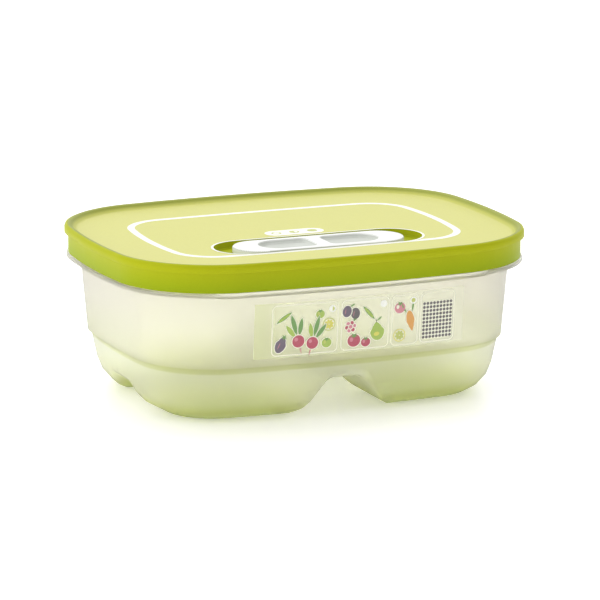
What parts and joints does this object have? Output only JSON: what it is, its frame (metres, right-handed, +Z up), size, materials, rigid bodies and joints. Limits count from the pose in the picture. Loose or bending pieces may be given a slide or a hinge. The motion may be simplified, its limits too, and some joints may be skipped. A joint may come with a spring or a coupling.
{
  "type": "produce storage container",
  "caption": "Low rounded produce keeper: a frosted translucent tub on four feet, a soft press-fit lid and a sliding air vent in the lid.",
  "frame": {"origin": "bottom centre of the box round the container", "axes": "+Z up, +X along the long side, -Y towards the long side with the vent and the label"},
  "size_m": [0.232, 0.18, 0.088],
  "materials": {
    "tub_frosted": "frosted translucent moulded plastic",
    "lid_soft": "matte soft plastic, fine grain on the panel",
    "slider_white": "semi-gloss moulded plastic",
    "shutter_white": "matte moulded plastic",
    "seal_soft": "soft moulded elastomer"
  },
  "bodies": {
    "tub": {"tub": "tub_frosted"},
    "lid": {"lid": "lid_soft"},
    "vent": {"vent_slider": "slider_white", "vent_shutter": "shutter_white", "vent_seal": "seal_soft"}
  },
  "joints": [
    {"name": "lid_lift", "type": "slide", "parent": "tub", "child": "lid", "axis": [0, 0, 1], "range_m": [0, 0.04]},
    {"name": "vent_slide", "type": "slide", "parent": "lid", "child": "vent", "axis": [1, 0, 0], "range_m": [-0.01, 0.01]}
  ]
}
